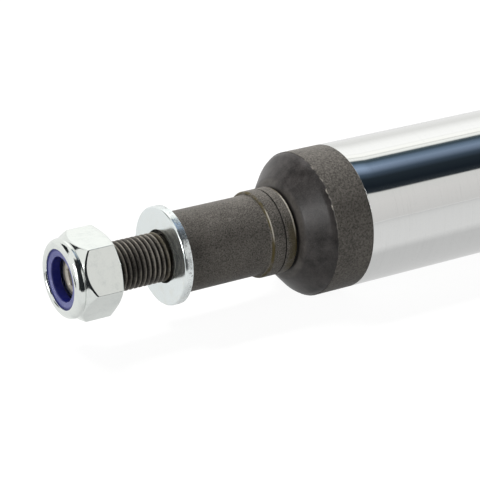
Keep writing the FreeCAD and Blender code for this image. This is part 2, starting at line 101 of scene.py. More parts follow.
# Reach of a hexagon's wall in each direction: half the flats over the largest cosine to a flat.
# A power mean in place of the largest rounds the corners.
def hexReach(angles, flats, corner, power=None):
    facing = np.cos(angles - math.radians(corner + 30) - np.arange(6).reshape(-1, 1) * turn / 6)
    if power is None:
        return flats / 2 / facing.max(axis=0)
    return flats / 2 / (np.clip(facing, 0, None) ** power).sum(axis=0) ** (1 / power)


# Right-hand screw: the phase x / pitch - angle / turn stays the same along a helix. A V of the given
# depth, with a flat crest an eighth of the pitch wide and a narrower flat root.
def screwReach(x, angles, radius, pitch, depth):
    phase = (x / pitch - angles / turn) % 1
    fall = np.clip((0.5 - np.abs(phase - 0.5) - 1 / 16) / (0.5 - 1 / 16 - 1 / 14), 0, 1)
    return radius - depth * fall


# Straight runs between corners (x, radius, easing, steps to the next corner). A corner is eased by a
# quarter of an ellipse: corner + easing * (back * (1 - sin t) + ahead * (1 - cos t)), t from 0 to 90
# degrees. An x or a radius is one number, or an array with a value for each angle round the axis.
def easedRuns(corners, angles, closed=False):
    spots = np.array([[x + 0 * angles, r + 0 * angles] for x, r in (corner[:2] for corner in corners)])
    ahead = np.roll(spots, -1, axis=0) - spots
    length = np.maximum(np.hypot(ahead[:, :1], ahead[:, 1:]), 1e-9)
    ahead = ahead / length
    back = -np.roll(ahead, 1, axis=0)
    last = len(corners) - 1
    easing = np.array([corner[2] for corner in corners], float).reshape(-1, 1, 1)
    if not closed:
        easing[[0, last]] = 0
    room = np.minimum(0.98 * length / np.maximum(easing + np.roll(easing, -1, axis=0), 1e-9), 1)
    easing = easing * np.minimum(room, np.roll(room, 1, axis=0))  # two easings fit in one run
    rows = []
    for k, (width, steps) in enumerate(corner[2:] for corner in corners):
        bends = 1 if easing[k].max() == 0 else 4 + round(5 * math.sqrt(width))
        t = np.linspace(0, turn / 4, bends).reshape(-1, 1, 1)
        rows.append(spots[k] + easing[k] * (back[k] * (1 - np.sin(t)) + ahead[k] * (1 - np.cos(t))))
        if closed or k < last:
            after = (k + 1) % len(corners)
            begin = spots[k] + ahead[k] * easing[k]
            end = spots[after] + back[after] * easing[after]
            share = (np.arange(1, steps) / steps).reshape(-1, 1, 1)
            rows.append(begin + (end - begin) * share)
    grid = np.concatenate(rows)
    return grid[:, 0], grid[:, 1]


# Skin of revolution: the point (x, r cos a, r sin a) for every row and angle, closed round the axis.
# The rows close on themselves, or end in a pole on the axis at each end.
def skin(name, x, r, angles, poles=None, marks=None, crease=35):
    rows, count = r.shape
    points = np.stack([x, r * np.cos(angles), r * np.sin(angles)], axis=-1).reshape(-1, 3)
    here = np.arange(rows * count).reshape(rows, count)
    low, high = (here, np.roll(here, -1, axis=0)) if poles is None else (here[:-1], here[1:])
    quads = np.stack([low, np.roll(low, -1, axis=1), np.roll(high, -1, axis=1), high], axis=-1)
    faces = quads.reshape(-1, 4).tolist()
    if poles is not None:
        points = np.vstack([points, [[poles[0], 0, 0], [poles[1], 0, 0]]])
        tip = np.full(count, rows * count)
        faces += np.stack([tip, np.roll(here[0], -1), here[0]], axis=-1).tolist()
        faces += np.stack([here[-1], np.roll(here[-1], -1), tip + 1], axis=-1).tolist()
    mesh = bpy.data.meshes.new(name)
    mesh.from_pydata((points * mm).tolist(), [], faces)
    mesh.polygons.foreach_set("use_smooth", np.ones(len(faces), bool))
    mesh.set_sharp_from_angle(angle=math.radians(crease))
    for label, value in (marks or {}).items():  # a number for each point, read by the finish
        level = np.broadcast_to(value, r.shape).ravel()
        level = np.pad(level, (0, len(points) - len(level))).astype(np.float32)
        mesh.attributes.new(label, "FLOAT", "POINT").data.foreach_set("value", level)
    piece = bpy.data.objects.new(name, mesh)
    bpy.context.scene.collection.objects.link(piece)
    return piece


def fit(piece, body, slot, *nodes):  # a piece gets its finish, its body and the node it stands for
    piece.data.materials.append(finishes[slot])
    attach(piece, body)
    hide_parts(*nodes)
    print("piece:", piece.name, len(piece.data.polygons), "faces, on", body)


class Wire:
    # A socket in a shader tree. Arithmetic on wires adds Math nodes, and node() adds any other kind.
    def __init__(self, tree, socket=None):
        self.tree = tree
        self.socket = socket

    def node(self, kind, settings=None, sockets=None, out=0):
        made = self.tree.nodes.new("ShaderNode" + kind)
        for key, value in (settings or {}).items():
            if key == "stops":  # a ramp's (place, colour) pairs, from low to high
                band = made.color_ramp.elements
                band[0].position, band[1].position = value[0][0], value[-1][0]
                for spot, colour in value[1:-1]:
                    band.new(spot)
                for stop, (spot, colour) in zip(band, value):
                    stop.color = (*colour, 1)
            else:
                setattr(made, key, value)
        for key, value in (sockets or {}).items():
            if isinstance(value, Wire):
                self.tree.links.new(made.inputs[key], value.socket)
            else:
                made.inputs[key].default_value = value
        if isinstance(out, tuple):
            return [Wire(self.tree, made.outputs[key]) for key in out]
        return Wire(self.tree, made.outputs[out])

    def maths(self, operation, first, second):
        return self.node("Math", {"operation": operation}, {0: first, 1: second})

    def __add__(self, other):
        return self.maths("ADD", self, other)

    def __sub__(self, other):
        return self.maths("SUBTRACT", self, other)

    def __rsub__(self, other):
        return self.maths("SUBTRACT", other, self)

    def __mul__(self, other):
        return self.maths("MULTIPLY", self, other)

    def __truediv__(self, other):
        return self.maths("DIVIDE", self, other)

    def __rtruediv__(self, other):
        return self.maths("DIVIDE", other, self)

    def __pow__(self, other):
        return self.maths("POWER", self, other)

    __radd__ = __add__
    __rmul__ = __mul__


def startFinish(name):
    material = bpy.data.materials.new(name)
    material.use_nodes = True
    material.node_tree.nodes.clear()
    return material, Wire(material.node_tree)


def closeFinish(kit, sockets):  # the shader itself and the material's output
    shader = kit.node("BsdfPrincipled", None, sockets)
    kit.node("OutputMaterial", None, {"Surface": shader}, ())


def place(kit):
    return kit.node("TexCoord", None, None, "Object")


def mark(kit, name):
    return kit.node("Attribute", {"attribute_name": name}, None, "Fac")


def noise(kit, where, scale, detail=2.0, roughness=0.5):
    return kit.node("TexNoise", None, {"Vector": where, "Scale": scale, "Detail": detail, "Roughness": roughness})


def stretched(kit, where, scale):  # the same place, drawn out along some axes
    return kit.node("VectorMath", {"operation": "MULTIPLY"}, {0: where, 1: scale})


def rise(kit, value, low, high):  # 0 below low, 1 above high, smooth between
    return kit.node("MapRange", {"interpolation_type": "SMOOTHSTEP"}, {0: value, 1: low, 2: high})


def mixed(kit, share, first, second):
    return kit.node("Mix", {"data_type": "RGBA"}, {0: share, 6: first, 7: second}, 2)


def relief(kit, height, depth, strength=1.0):  # depth in metres
    return kit.node("Bump", None, {"Height": height, "Distance": depth, "Strength": strength})


phosphate = {
    "dark": (0.040, 0.037, 0.0335, 1),
    "light": (0.182, 0.168, 0.150, 1),
    "bellDark": (0.008, 0.007, 0.0067, 1),
    "bellLight": (0.058, 0.0525, 0.051, 1),
    # painted light: highlights on the thread's crests and on the rim's burr, and light on the bell's root face
    "crest": (0.30, 0.276, 0.237, 1),
    "bareAndGlint": (0.86, 0.81, 0.70, 1),  # steel rubbed bright on the band's edges, and a painted highlight there
    "stain": (0.066, 0.052, 0.020, 1),  # olive heat tint beside them
    # painted shade for the band's groove, the undercut beside it and the thread's roots
    "recess": (0.008, 0.007, 0.006, 1),
    "grainScale": 2900, "pitScale": 1500,  # per metre: grains of about 0.35 mm, pits of 0.7 mm
    "cloudScale": 130, "patchScale": 300, "rubScale": 1100,
    "roughness": 0.46, "shine": 0.09, "grainDepth": 0.00006,
    "bellCoat": 0.3, "coatRoughness": 0.38,
}


def phosphateFinish():
    look = phosphate
    material, kit = startFinish("phosphate_blasted")
    where = place(kit)
    polish, stain, bell, crest, recess, coarse = [
        mark(kit, name) for name in ("polish", "stain", "bell", "crest", "recess", "coarse")]
    fine = noise(kit, where, look["grainScale"], 3, 0.65)
    pits = noise(kit, where, look["pitScale"], 3, 0.7)
    speck = fine + coarse * (pits - fine)
    cloud = noise(kit, where, look["cloudScale"], 3, 0.6)
    patch = noise(kit, where, look["patchScale"], 4, 0.65)
    skinTone = mixed(kit, rise(kit, 0.88 * speck + 0.12 * cloud, 0.34, 0.68), look["dark"], look["light"])
    blotch = 0.3 * speck + 0.3 * cloud + 0.4 * patch
    bellTone = mixed(kit, rise(kit, blotch, 0.31, 0.69), look["bellDark"], look["bellLight"])
    coat = mixed(kit, bell, skinTone, bellTone)
    # Painted highlights on the thread's crests and the rim's burr, and painted light on the bell's root face
    coat = mixed(kit, crest * rise(kit, cloud, 0.3, 0.6), coat, look["crest"])
    coat = mixed(kit, stain * rise(kit, patch, 0.25, 0.6), coat, look["stain"])
    # Bare steel where the band's edges are rubbed, partly a painted highlight
    wornAndGlint = polish * rise(kit, noise(kit, where, look["rubScale"], 2, 0.6), 0.2, 0.42)
    # Painted shade in the band's groove, the undercut and the thread's roots
    colour = mixed(kit, recess, mixed(kit, wornAndGlint, coat, look["bareAndGlint"]), look["recess"])
    rough = look["roughness"] + 0.16 * (speck - 0.5) - bell * (0.08 - 0.2 * (patch - 0.5))
    rough = rough - 0.16 * wornAndGlint - 0.1 * stain
    grain = speck * (1 + coarse) * (1 - 0.75 * bell) * (1 - 0.8 * polish)
    bumps = relief(kit, grain + bell * patch * 3, look["grainDepth"], 0.55)
    closeFinish(kit, {"Base Color": colour, "Roughness": rough, "Metallic": 0.45 * wornAndGlint, "Normal": bumps,
                      "Specular IOR Level": look["shine"],
                      "Coat Weight": look["bellCoat"] * bell, "Coat Roughness": look["coatRoughness"]})
    return material


zinc = {
    "pale": (0.73, 0.76, 0.735, 1),
    "dull": (0.64, 0.675, 0.66, 1),
    "blue": (0.75, 0.797, 0.797, 1),  # the washer's passivated face, with a little milkiness
    "sheared": (0.40, 0.41, 0.405, 1),  # flecks on the washer's cut rim
    "cloudScale": 260, "dustScale": 2600, "tearScale": 1300, "waverScale": 650,
    "roughness": 0.09, "depth": 0.00003,
}


def zincFinish():
    look = zinc
    material, kit = startFinish("zinc_bright")
    where = place(kit)
    sheared, milky = mark(kit, "sheared"), mark(kit, "milky")
    cloud = noise(kit, where, look["cloudScale"], 3, 0.6)
    dust = noise(kit, where, look["dustScale"], 2, 0.6)
    tear = noise(kit, where, look["tearScale"], 3, 0.7)
    plate = mixed(kit, rise(kit, 0.6 * cloud + 0.4 * dust, 0.45, 0.75), look["pale"], look["dull"])
    plate = mixed(kit, milky * rise(kit, cloud, 0.25, 0.5), plate, look["blue"])
    colour = mixed(kit, sheared * rise(kit, tear, 0.52, 0.66), plate, look["sheared"])
    rough = look["roughness"] + 0.06 * (cloud - 0.5) + 0.05 * dust + 0.22 * sheared * tear
    waver = noise(kit, where, look["waverScale"], 2, 0.5)
    bumps = relief(kit, 0.4 * dust + cloud * 0.6 + waver * 0.9 + sheared * tear * 2, look["depth"], 0.5)
    closeFinish(kit, {"Base Color": colour, "Roughness": rough + 0.05 * milky,
                      "Metallic": 1 - 0.06 * milky, "Normal": bumps})
    return material


chrome = {
    "tone": (0.67, 0.675, 0.67, 1), "haze": (0.60, 0.605, 0.60, 1),
    "lineScale": (2600.0, 60.0, 60.0),  # the grinding lines go round the tube
    "cloudScale": 60, "fleckScale": 3000,
    "roughness": 0.055, "depth": 0.000004,
}


def chromeFinish():
    look = chrome
    material, kit = startFinish("chrome_hard")
    where = place(kit)
    rings = noise(kit, stretched(kit, where, look["lineScale"]), 1.0, 2, 0.6)
    cloud = noise(kit, where, look["cloudScale"], 2, 0.5)
    fleck = noise(kit, where, look["fleckScale"], 2, 0.7)
    colour = mixed(kit, rise(kit, 0.5 * rings + 0.5 * fleck, 0.5, 0.8), look["tone"], look["haze"])
    rough = look["roughness"] + 0.04 * rings * cloud
    bumps = relief(kit, rings + 0.5 * fleck, look["depth"], 0.35)
    closeFinish(kit, {"Base Color": colour, "Roughness": rough, "Metallic": 1.0, "Normal": bumps})
    return material


nylon = {
    # The darkest blue is painted shade, in the ring's bore and along the nut's lip.
    "body": (0.075, 0.081, 0.240, 1), "pale": (0.140, 0.150, 0.320, 1), "nylonShade": (0.004, 0.007, 0.125, 1),
    "cloudScale": 500, "waxScale": 2400,
    "roughness": 0.36, "shine": 0.4, "depth": 0.00005,
}


def nylonFinish():
    look = nylon
    material, kit = startFinish("nylon_blue")
    where = place(kit)
    bore = mark(kit, "bore")
    cloud = noise(kit, where, look["cloudScale"], 3, 0.6)
    waxy = noise(kit, where, look["waxScale"], 2, 0.5)
    colour = mixed(kit, rise(kit, 0.5 * cloud + 0.5 * waxy, 0.4, 0.7), look["body"], look["pale"])
    # Painted shade in the bore and along the nut's lip
    colour = mixed(kit, bore, colour, look["nylonShade"])
    rough = look["roughness"] + 0.12 * waxy
    bumps = relief(kit, 0.7 * cloud + 0.3 * waxy, look["depth"], 0.3)
    closeFinish(kit, {"Base Color": colour, "Roughness": rough, "Normal": bumps, "Specular IOR Level": look["shine"]})
    return material


foam = {
    "skin": (0.62, 0.50, 0.24, 1), "shade": (0.44, 0.33, 0.13, 1), "pore": (0.26, 0.18, 0.06, 1),
    "cloudScale": 90, "cellScale": 1100.0,
    "roughness": 0.62, "depth": 0.00018,
}


def foamFinish():
    look = foam
    material, kit = startFinish("foam_skinned")
    where = place(kit)
    cloud = noise(kit, where, look["cloudScale"], 3, 0.55)
    cells = kit.node("TexVoronoi", None, {"Vector": where, "Scale": look["cellScale"]})
    pores = 1 - rise(kit, cells, 0.12, 0.34)
    colour = mixed(kit, rise(kit, cloud, 0.35, 0.7), look["skin"], look["shade"])
    colour = mixed(kit, pores * rise(kit, cloud, 0.3, 0.6) * 0.7, colour, look["pore"])
    bumps = relief(kit, cloud * 0.6 - pores * 0.5, look["depth"], 0.5)
    closeFinish(kit, {"Base Color": colour, "Roughness": look["roughness"] + 0.2 * cloud, "Normal": bumps})
    return material


turned = {"ringScale": 4200, "slant": 0.6, "cloudScale": 220, "depth": 0.00001}


# Turned metal: fine rings that follow the distance from the axis and the place along it.
def turnedFinish(name, tone, shade, roughness):
    material, kit = startFinish(name)
    where = place(kit)
    along, across, up = kit.node("SeparateXYZ", None, {0: where}, (0, 1, 2))
    radius = (across * across + up * up) ** 0.5
    spot = (radius + turned["slant"] * along) * turned["ringScale"]
    rings = kit.node("TexNoise", {"noise_dimensions": "1D"}, {"W": spot, "Detail": 2.0})
    cloud = noise(kit, where, turned["cloudScale"], 3, 0.6)
    colour = mixed(kit, rise(kit, 0.5 * rings + 0.5 * cloud, 0.35, 0.7), tone, shade)
    rough = roughness + 0.18 * (rings - 0.5) + 0.1 * (cloud - 0.5)
    closeFinish(kit, {"Base Color": colour, "Roughness": rough, "Metallic": 1.0,
                      "Normal": relief(kit, rings, turned["depth"], 0.4)})
    return material


# Moulded or pressed stuff: a fine all-over grain with slow changes of tone.
def mouldedFinish(name, tone, shade, roughness, scale, depth, metallic=0.0, cloudScale=140):
    material, kit = startFinish(name)
    where = place(kit)
    fine = noise(kit, where, scale, 3, 0.6)
    cloud = noise(kit, where, cloudScale, 2, 0.5)
    colour = mixed(kit, rise(kit, 0.6 * fine + 0.4 * cloud, 0.35, 0.68), tone, shade)
    closeFinish(kit, {"Base Color": colour, "Roughness": roughness + 0.2 * (fine - 0.5), "Metallic": metallic,
                      "Normal": relief(kit, fine, depth, 0.5)})
    return material


finishes = {
    "phosphate_steel": phosphateFinish(),
    "chrome_steel": chromeFinish(),
    "zinc_steel": zincFinish(),
    "blue_nylon": nylonFinish(),
    "bump_foam": foamFinish(),
    "plain_steel": turnedFinish(
        "steel_ground", (0.46, 0.46, 0.47, 1), (0.34, 0.34, 0.35, 1), roughness=0.30),
    "turned_aluminium": turnedFinish(
        "aluminium_turned", (0.72, 0.73, 0.74, 1), (0.58, 0.59, 0.60, 1), roughness=0.32),
    "bush_bronze": turnedFinish(
        "bronze_bush", (0.56, 0.39, 0.19, 1), (0.38, 0.26, 0.12, 1), roughness=0.34),
    "sintered_iron": mouldedFinish(
        "iron_sintered", (0.19, 0.19, 0.20, 1), (0.10, 0.10, 0.105, 1),
        roughness=0.45, scale=2400, depth=0.00004, metallic=1.0),
    "slide_band": mouldedFinish(
        "band_filled", (0.10, 0.13, 0.11, 1), (0.06, 0.075, 0.065, 1),
        roughness=0.50, scale=1500, depth=0.00002),
    "seal_rubber": mouldedFinish(
        "rubber_nitrile", (0.022, 0.022, 0.022, 1), (0.012, 0.012, 0.012, 1),
        roughness=0.55, scale=1800, depth=0.00003),
    "black_plastic": mouldedFinish(
        "plastic_black", (0.042, 0.042, 0.045, 1), (0.025, 0.025, 0.027, 1),
        roughness=0.48, scale=1300, depth=0.00005),
}
for part in frame["record"]["subparts"]:  # the solids that stay in view get the same finishes
    for slot in frame["nodes"][part["node"]].material_slots:
        slot.material = finishes[part["material_slot"]]
print("finishes:", ", ".join(finishes))

capForging = {
    "columns": 192, "threadRows": 240,
    "corner": 7.0,  # degrees from +Y to a corner of the socket, the same as the nut's
    "socketFlats": 7.0, "socketDepth": 6.0, "socketMouth": 4.35,
    "threadRadius": 7.0, "threadPitch": 1.5, "threadDepth": 0.92, "endChamfer": 1.2,
    "reliefStart": 0.55, "reliefRadius": 5.9, "reliefRamp": 1.1,
    "shoulder": 2.55, "stemRadius": 11.5, "stemEdge": 0.5,
    "bandStart": 29.2, "bandEnd": 37.3, "bandRadius": 12.5, "bandEdge": 0.4,
    "grooveStart": 33.3, "grooveWidth": 0.6, "grooveDepth": 0.3,
    "undercutRadius": 11.8, "bellStart": 37.95, "bellFace": (38.55, 14.4), "bellShoulder": (44.35, 20.51),
    "bellEnd": 45.25, "bellRim": 20.75,
    "tornEdge": 0.15, "tornPatch": 132.0,  # the rim wanders by this much, most at this angle
    # The band's two edges: where they are rubbed bright and carry a painted highlight, and how far to each side, in
    # degrees, and how wide.
    "rubGlintAt": (148.0, 136.0), "rubGlintSpan": (19.0, 27.0), "rubGlintWidth": (0.13, 0.18),
    "spigotRadius": 17.99, "spigotEdge": 0.8, "dishDepth": 4.0,
}


def makeCap():
    c = capForging
    angles = roundAngles(c["columns"], c["corner"])
    studEnd, spigotEnd, collarRadius = reach("top_cap")
    collarEnd = reach("body_tube")[0]
    hexWall = hexReach(angles, c["socketFlats"], c["corner"])
    floor = studEnd + c["socketDepth"]
    patch = np.exp(-((angles - math.radians(c["tornPatch"])) / 0.5) ** 2)
    torn = c["tornEdge"] * (0.5 + 1.2 * patch) * ripple(angles, (7, 11, 17, 23, 31, 41, 53, 67, 83))
    rim = c["bellEnd"] + torn
    middle = c["grooveStart"] + c["grooveWidth"] / 2
    corners = [
        (floor, 0.5 * hexWall, 0, 1),
        (floor, hexWall, 0.1, 3),
        (studEnd + 0.45, hexWall, 0, 2),
        (studEnd, c["socketMouth"], 0.08, 2),
        (studEnd, c["threadRadius"] - c["endChamfer"], 0.15, 12),
        (studEnd + c["endChamfer"], c["threadRadius"], 0.1, c["threadRows"]),
        (c["reliefStart"] - c["reliefRamp"], c["threadRadius"], 0.1, 12),
        (c["reliefStart"], c["reliefRadius"], 0.2, 3),
        (c["shoulder"], c["reliefRadius"], 0.4, 3),
        (c["shoulder"], c["stemRadius"] - c["stemEdge"], 0.1, 1),
        (c["shoulder"] + c["stemEdge"], c["stemRadius"], 0.12, 20),
        (c["bandStart"], c["stemRadius"], 0.2, 1),
        (c["bandStart"], c["bandRadius"] - c["bandEdge"], 0.1, 2),
        (c["bandStart"] + c["bandEdge"], c["bandRadius"], 0.2, 12),
        (c["grooveStart"], c["bandRadius"], 0.05, 2),
        (middle, c["bandRadius"] - c["grooveDepth"], 0.05, 2),
        (c["grooveStart"] + c["grooveWidth"], c["bandRadius"], 0.05, 10),
        (c["bandEnd"] - c["bandEdge"], c["bandRadius"], 0.2, 2),
        (c["bandEnd"], c["bandRadius"] - c["bandEdge"], 0.08, 1),
        (c["bandEnd"], c["undercutRadius"], 0.06, 1),
        (c["bellStart"], c["undercutRadius"], 0.08, 2),
        (c["bellFace"][0], c["bellFace"][1], 0.9, 6),
        (c["bellShoulder"][0], c["bellShoulder"][1], 0.94, 1),
        (rim, c["bellRim"], 0.06, 1),
        (rim + 0.12, collarRadius, 0.1, 10),
        (collarEnd, collarRadius, 0.15, 1),
        (collarEnd, c["spigotRadius"], 0.1, 2),
        (spigotEnd - c["spigotEdge"], c["spigotRadius"], 0.1, 1),
        (spigotEnd, c["spigotRadius"] - c["spigotEdge"], 0.1, 2),
        (spigotEnd - 0.6 * c["dishDepth"], 9.0, 4.0, 2),
        (spigotEnd - c["dishDepth"], 2.0, 0, 1),
    ]
    x, r = easedRuns(corners, angles)
    socketRows = 12  # they come before the thread's
    wall = np.arange(len(x)).reshape(-1, 1) > socketRows
    stud = (r > c["reliefRadius"] - 0.2) & (x < c["reliefStart"]) & (x > studEnd + 0.01) & wall
    screw = screwReach(x, angles, c["threadRadius"], c["threadPitch"], c["threadDepth"])
    r = np.where(stud, np.minimum(r, screw), r)

    outside = r > c["undercutRadius"] + 0.05
    leftAside, rightAside = [np.degrees(angles) - spot for spot in c["rubGlintAt"]]
    leftEdge, rightEdge = x - c["bandStart"] - c["bandEdge"], x - c["bandEnd"] + c["bandEdge"]
    leftSpan, rightSpan = c["rubGlintSpan"]
    leftWidth, rightWidth = c["rubGlintWidth"]
    # Rubbed bare steel on the band's edges, laid only at the angles where the highlights fall: partly a painted
    # highlight.
    rubbedGlint = 0.95 * plateau(leftAside, leftSpan) * plateau(leftEdge, leftWidth)
    rubbedGlint = rubbedGlint + plateau(rightAside, rightSpan) * plateau(rightEdge + 0.1, rightWidth)
    tint = plateau(leftEdge + 0.2, 0.42) + plateau(rightEdge - 0.1, 0.35)
    tint = tint + 0.8 * plateau(rightAside - 55, 40) * plateau(rightEdge + 1.0, 1.5)
    lastTurns = ramp(x - c["reliefStart"] + 3.55, 2.0) * stud
    # Light specks along the torn rim: a real burr, made light by a painted highlight.
    burr = patch * np.exp(-((x - rim - 0.04) / 0.12) ** 2)
    burr = burr * np.clip(1.6 * ripple(angles, (29, 47, 61)) - 0.2, 0, 1)
    # Painted shade in the band's groove, in the undercut beside the band and in the thread's roots.
    grooveShade = ramp(c["bandRadius"] - 0.06 - r, 0.1) * (np.abs(x - middle) < c["grooveWidth"])
    undercutShade = ramp(x - c["bandEnd"] + 0.06, 0.05) * ramp(c["undercutRadius"] + 0.35 - r, 0.15)
    undercutShade = undercutShade * (x < c["bellFace"][0] + 0.05)
    rootShade = ramp(c["threadRadius"] - 0.28 - r, 0.5) * stud
    # Painted light on the bell's steep root face, beside the undercut.
    foot = ramp(r - c["undercutRadius"] - 0.4, 0.3) * ramp(c["bellFace"][1] + 0.4 - r, 0.8) * (x > c["bellStart"])
    mouth = (x < studEnd + 3.0) * (r < c["socketMouth"] + 0.1)  # the socket's mouth is painted bright bare steel: a painted highlight where light reaches in
    stem = (x < c["bandStart"]) * (x > c["shoulder"])
    marks = {
        "polish": np.clip(rubbedGlint * outside + 0.45 * mouth + 0.15 * burr, 0, 1),
        "coarse": 0.6 * ramp(x - rim, 0.2) + 0.15 * stem,
        "stain": np.clip(tint * outside + 0.6 * lastTurns, 0, 1),
        "bell": ramp(x - c["bandEnd"] - 0.3, 0.3) * np.clip((rim - x) / 0.2 + 1, 0, 1),
        "recess": np.clip(grooveShade + undercutShade + 0.85 * rootShade, 0, 1),
        # Painted highlights on the thread's crests and the burr, and painted light on the bell's root face.
        "crest": ramp(r - c["threadRadius"] + 0.22, 0.18) * stud + np.clip(burr + 0.12 * foot, 0, 1),
    }
    cap = skin("cap_forging", x, r, angles, (floor, spigotEnd - c["dishDepth"]), marks)
    fit(cap, "body", "phosphate_steel", "top_cap")


makeCap()

lockNut = {
    "columns": 240, "threadRows": 78,
    "flats": 22.0, "corner": 7.0, "cornerPower": 220,  # a higher power gives sharper corners
    "crown": 2.1, "lipRadius": 8.3, "lipRound": 0.7, "lipDepth": 0.75,
    "collarRadius": 11.1, "collarEnd": 2.15, "neckRadius": 10.65, "neckPlace": 2.7, "coneLength": 2.5,
    "seatRadius": 10.6, "seatChamfer": 1.0, "edgeEase": 0.4,
    "boreRadius": 7.06, "countersink": 0.9, "screwGap": 0.08,
    "pocketRadius": 9.32,
}


def makeNut():
    c = lockNut
    thread = capForging
    angles = cornerAngles(c["columns"], c["corner"])
    front, seat = reach("lock_nut")[:2]
    pocketEnd = reach("nut_insert")[1] + 0.02
    hexWall = hexReach(angles, c["flats"], c["corner"], c["cornerPower"])
    cornerRadius = c["flats"] / math.sqrt(3)
    neck = front + c["neckPlace"]
    cone = neck + c["coneLength"] * (hexWall - c["neckRadius"]) / (cornerRadius - c["neckRadius"])
    foot = seat - c["seatChamfer"] * (hexWall - c["seatRadius"]) / (cornerRadius - c["seatRadius"])
    sink = c["boreRadius"] + c["countersink"]
    corners = [
        (front + c["lipDepth"], c["lipRadius"], 0.05, 1),
        (front, c["lipRadius"], c["lipRound"], 1),
        (front, c["collarRadius"], c["crown"], 1),
        (front + c["collarEnd"], c["collarRadius"], 0.1, 1),
        (neck, c["neckRadius"], 0.12, 4),
        (cone, hexWall, c["edgeEase"], 8),
        (foot, hexWall, c["edgeEase"], 2),
        (seat, c["seatRadius"], 0.15, 2),
        (seat, sink, 0.12, 2),
        (seat - c["countersink"], c["boreRadius"], 0, c["threadRows"]),
        (pocketEnd + c["countersink"], c["boreRadius"], 0, 2),
        (pocketEnd, sink, 0.1, 1),
        (pocketEnd, c["pocketRadius"], 0.1, 2),
        (front + c["lipDepth"], c["pocketRadius"], 0.1, 1),
    ]
    x, r = easedRuns(corners, angles, closed=True)
    bore = r < c["boreRadius"] + 0.02
    screw = screwReach(x, angles, thread["threadRadius"], thread["threadPitch"], thread["threadDepth"])
    r = np.where(bore, screw + c["screwGap"], r)
    nut = skin("lock_nut_body", x, r, angles, crease=40)
    fit(nut, "nut", "zinc_steel", "lock_nut")


makeNut()

nylonRing = {
    "columns": 160,
    "outerEase": 0.2, "innerEase": 0.15, "boreRadius": 6.3, "crown": 0.10,
    "uneven": 0.009,  # how far its face wavers where it was turned
    "shadeRadius": 7.75,  # past this the nut's lip leaves a line of painted shade
}


def makeNylon():
    c = nylonRing
    angles = roundAngles(c["columns"])
    front, back, outer = reach("nut_insert")
    dip = c["uneven"] * ripple(angles, (2, 3, 5))
    corners = [
        (front + 0.06, c["boreRadius"], c["innerEase"], 2),
        (front + dip + 0.02, (c["boreRadius"] + outer) / 2, 0.6, 10),
        (front + c["crown"], outer, c["outerEase"], 2),
        (back, outer, c["outerEase"], 3),
        (back, c["boreRadius"], 0.2, 6),
    ]
    x, r = easedRuns(corners, angles, closed=True)
    # Painted shade in the ring's bore and in a line along the nut's lip.
    nylonShade = ramp(c["boreRadius"] + 0.35 - r, 0.3) * ramp(x - front - 0.1, 0.3)
    nylonShade = np.maximum(nylonShade, 0.85 * ramp(r - c["shadeRadius"], 0.12))
    ring = skin("nylon_ring", x, r, angles, marks={"bore": nylonShade})
    fit(ring, "nut_carrier", "blue_nylon", "nut_insert")


makeNylon()

flatWasher = {"columns": 200, "rollOver": 0.5, "burr": 0.12, "wear": 0.05, "holeRadius": 7.5, "holeEase": 0.25}


def makeWasher():
    c = flatWasher
    angles = roundAngles(c["columns"])
    front, back, outer = reach("top_washer")
    ragged = outer - c["wear"] * (0.5 + 0.5 * ripple(angles, (9, 14, 22, 35, 51, 64)))
    corners = [
        (front, c["holeRadius"], c["holeEase"], 6),
        (front, ragged, c["rollOver"], 4),
        (back, ragged, c["burr"], 6),
        (back, c["holeRadius"], c["holeEase"], 3),
    ]
    x, r = easedRuns(corners, angles, closed=True)
    rim = ramp(r - outer + 0.3, 0.1) * ramp(x - front - 0.5, 0.4)
    washer = skin("flat_washer", x, r, angles, marks={"sheared": rim, "milky": 1.0})
    fit(washer, "washer", "zinc_steel", "top_washer")


makeWasher()

chromeTube = {"columns": 256, "wall": 3.0, "topEdge": 0.03, "mouthEdge": 1.0}


def makeTube():
    c = chromeTube
    angles = roundAngles(c["columns"])
    top, mouth, outer = reach("body_tube")
    corners = [
        (top, outer - c["wall"], 0, 1),
        (top, outer - c["topEdge"], 0.02, 1),
        (top + c["topEdge"], outer, 0.03, 60),
        (mouth - c["mouthEdge"], outer, 0.3, 2),
        (mouth, outer - c["mouthEdge"], 0.2, 1),
        (mouth, outer - c["wall"], 0.2, 40),
    ]
    x, r = easedRuns(corners, angles, closed=True)
    tube = skin("chrome_tube", x, r, angles)
    fit(tube, "body", "chrome_steel", "body_tube")


makeTube()

chromeRod = {
    "columns": 144, "threadRows": 224,
    "tenonRadius": 5.0, "tenonEdge": 0.8, "tenonEnd": 287.69, "radius": 7.0, "edge": 0.6,
    "clipGroove": (506.24, 507.84), "clipRadius": 6.0,
    "shoulder": 513.79, "reliefRadius": 4.9, "reliefEnd": 515.79,
    "threadRadius": 6.0, "threadPitch": 1.5, "threadDepth": 0.92, "threadEdge": 1.0,
    "tipStart": 537.79, "tipRadius": 4.8, "tipFlats": 8.0, "tipEdge": 0.4,
}


